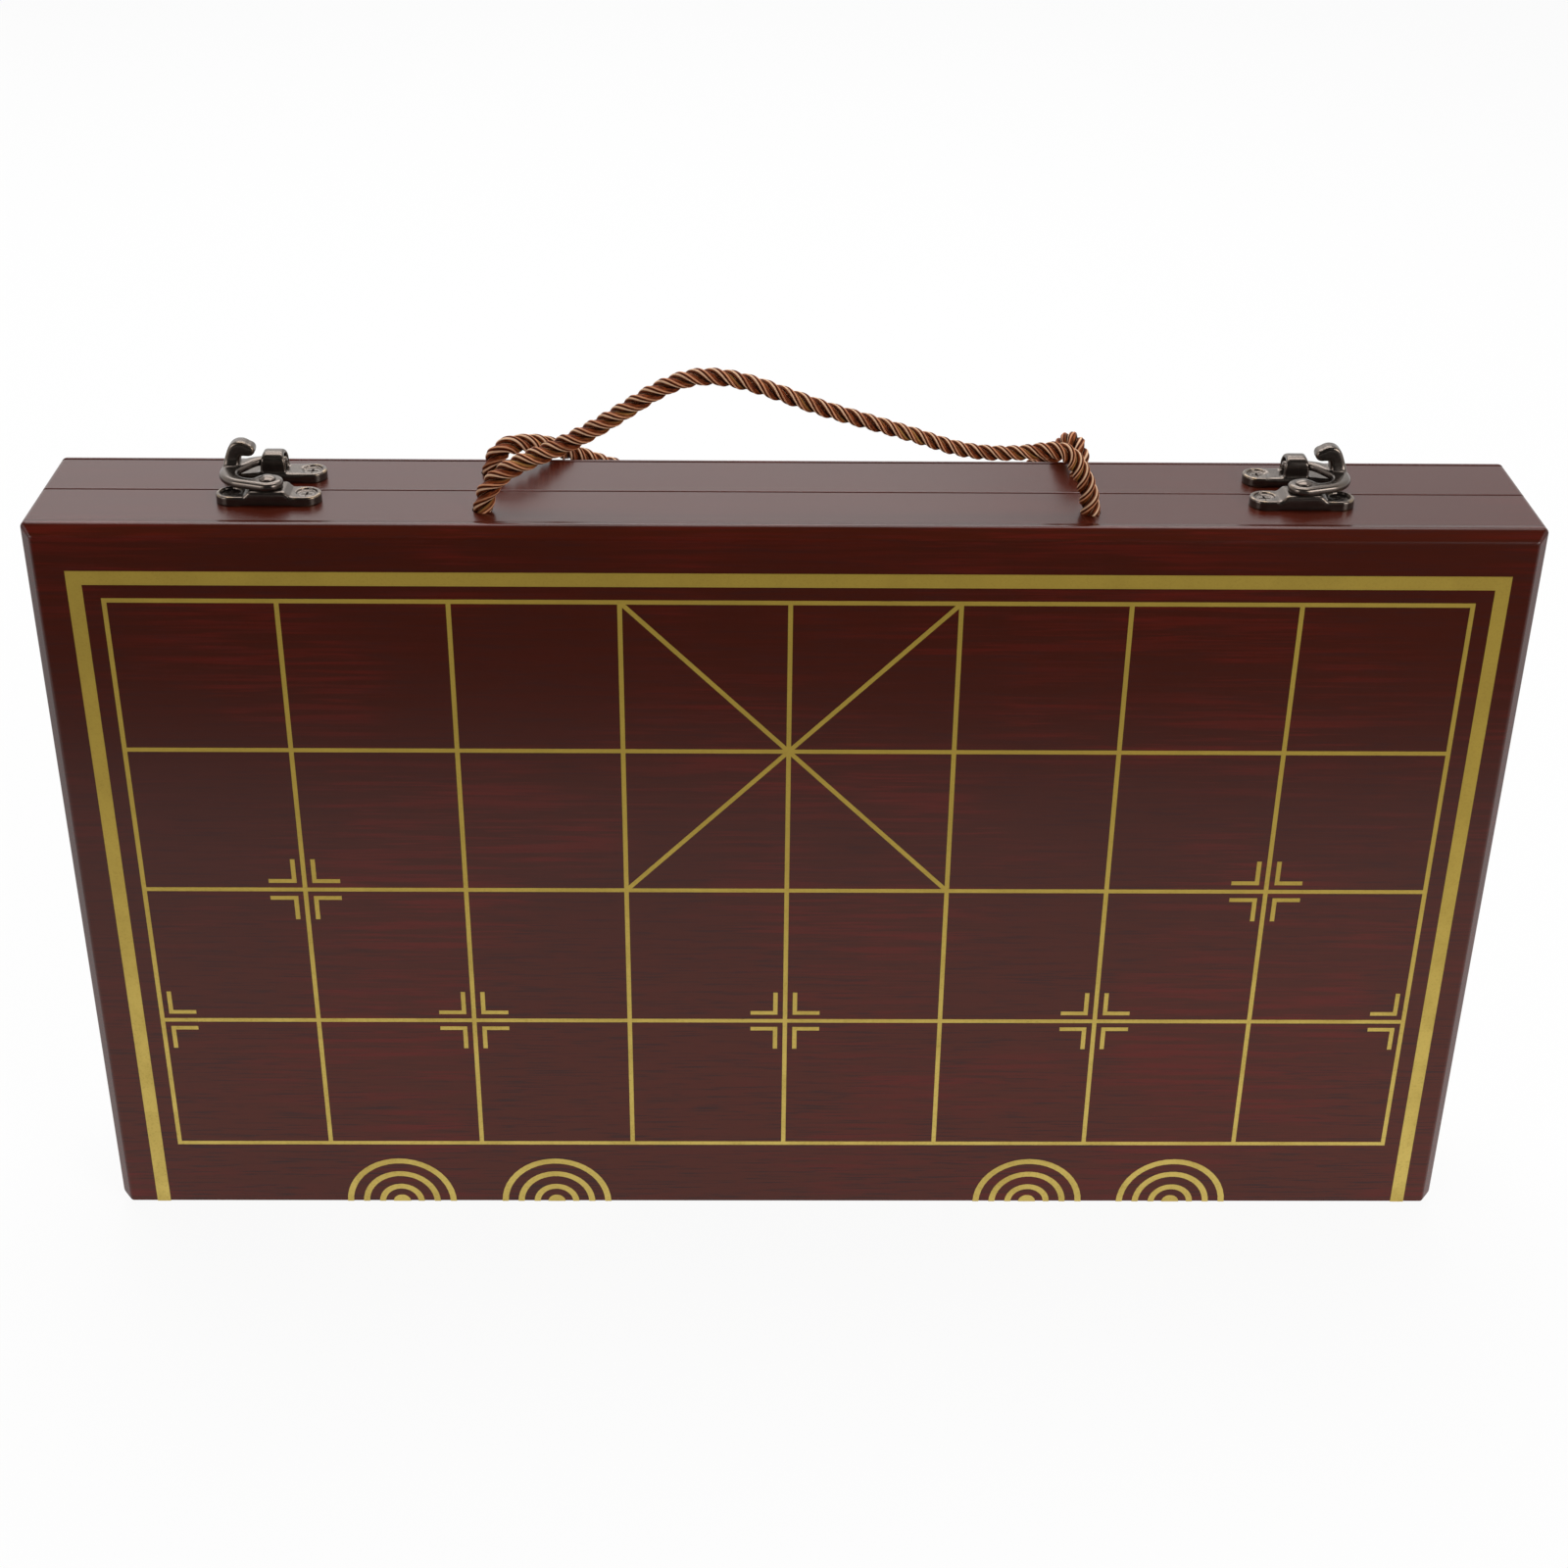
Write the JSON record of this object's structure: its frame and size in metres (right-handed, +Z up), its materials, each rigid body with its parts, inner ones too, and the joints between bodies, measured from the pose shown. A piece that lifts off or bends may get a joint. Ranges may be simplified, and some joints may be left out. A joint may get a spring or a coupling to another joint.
{
  "type": "folding xiangqi board box",
  "caption": "Slim wooden folding box whose two hinged trays carry a playing board, with two swing latches and two cord handles.",
  "frame": {"origin": "centre of the footprint of the closed box, on the surface that it stands on", "axes": "+X along the long side to the right, +Y from the front board to the rear board, +Z up from the hinged spine to the latch edge"},
  "size_m": [0.41, 0.0577, 0.272],
  "materials": {
    "stained_wood": "satin lacquer over a dark red stain with visible grain",
    "gold_print": "dull gold ink",
    "aged_bronze": "antique bronze, dark with rubbed edges",
    "dark_screws": "blackened steel",
    "hinge_brass": "dull brass",
    "twisted_cord": "satin three-strand cord, copper brown"
  },
  "bodies": {
    "front_half": {"front_board_panel": "stained_wood", "front_board_lines": "gold_print", "front_top_rail": "stained_wood", "front_spine_rail": "stained_wood", "front_left_rail": "stained_wood", "front_right_rail": "stained_wood", "left_latch_base": "aged_bronze", "right_latch_base": "aged_bronze", "left_latch_rivet": "aged_bronze", "right_latch_rivet": "aged_bronze", "left_latch_base_screws": "dark_screws", "right_latch_base_screws": "dark_screws", "left_hinge_front_leaf": "hinge_brass", "right_hinge_front_leaf": "hinge_brass", "left_hinge_pin": "hinge_brass", "right_hinge_pin": "hinge_brass", "left_hinge_front_screws": "dark_screws", "right_hinge_front_screws": "dark_screws", "front_rope": "twisted_cord", "front_left_knot": "twisted_cord", "front_right_knot": "twisted_cord"},
    "rear_half": {"rear_board_panel": "stained_wood", "rear_board_lines": "gold_print", "rear_top_rail": "stained_wood", "rear_spine_rail": "stained_wood", "rear_left_rail": "stained_wood", "rear_right_rail": "stained_wood", "left_catch_plate": "aged_bronze", "right_catch_plate": "aged_bronze", "left_catch_screws": "dark_screws", "right_catch_screws": "dark_screws", "left_hinge_rear_leaf": "hinge_brass", "right_hinge_rear_leaf": "hinge_brass", "left_hinge_rear_screws": "dark_screws", "right_hinge_rear_screws": "dark_screws", "rear_rope": "twisted_cord", "rear_left_knot": "twisted_cord", "rear_right_knot": "twisted_cord"},
    "left_latch_arm": {"left_latch_arm": "aged_bronze"},
    "right_latch_arm": {"right_latch_arm": "aged_bronze"}
  },
  "joints": [
    {"name": "box_opening", "type": "hinge", "parent": "front_half", "child": "rear_half", "pos_m": [0, 0, 0.0015], "axis": [-1, 0, 0], "range_deg": [0, 180]},
    {"name": "left_latch_swing", "type": "hinge", "parent": "front_half", "child": "left_latch_arm", "pos_m": [-0.141, -0.0074, 0.237], "axis": [0, 0, 1], "range_deg": [0, 110]},
    {"name": "right_latch_swing", "type": "hinge", "parent": "front_half", "child": "right_latch_arm", "pos_m": [0.141, -0.0074, 0.237], "axis": [0, 0, -1], "range_deg": [0, 110]}
  ]
}
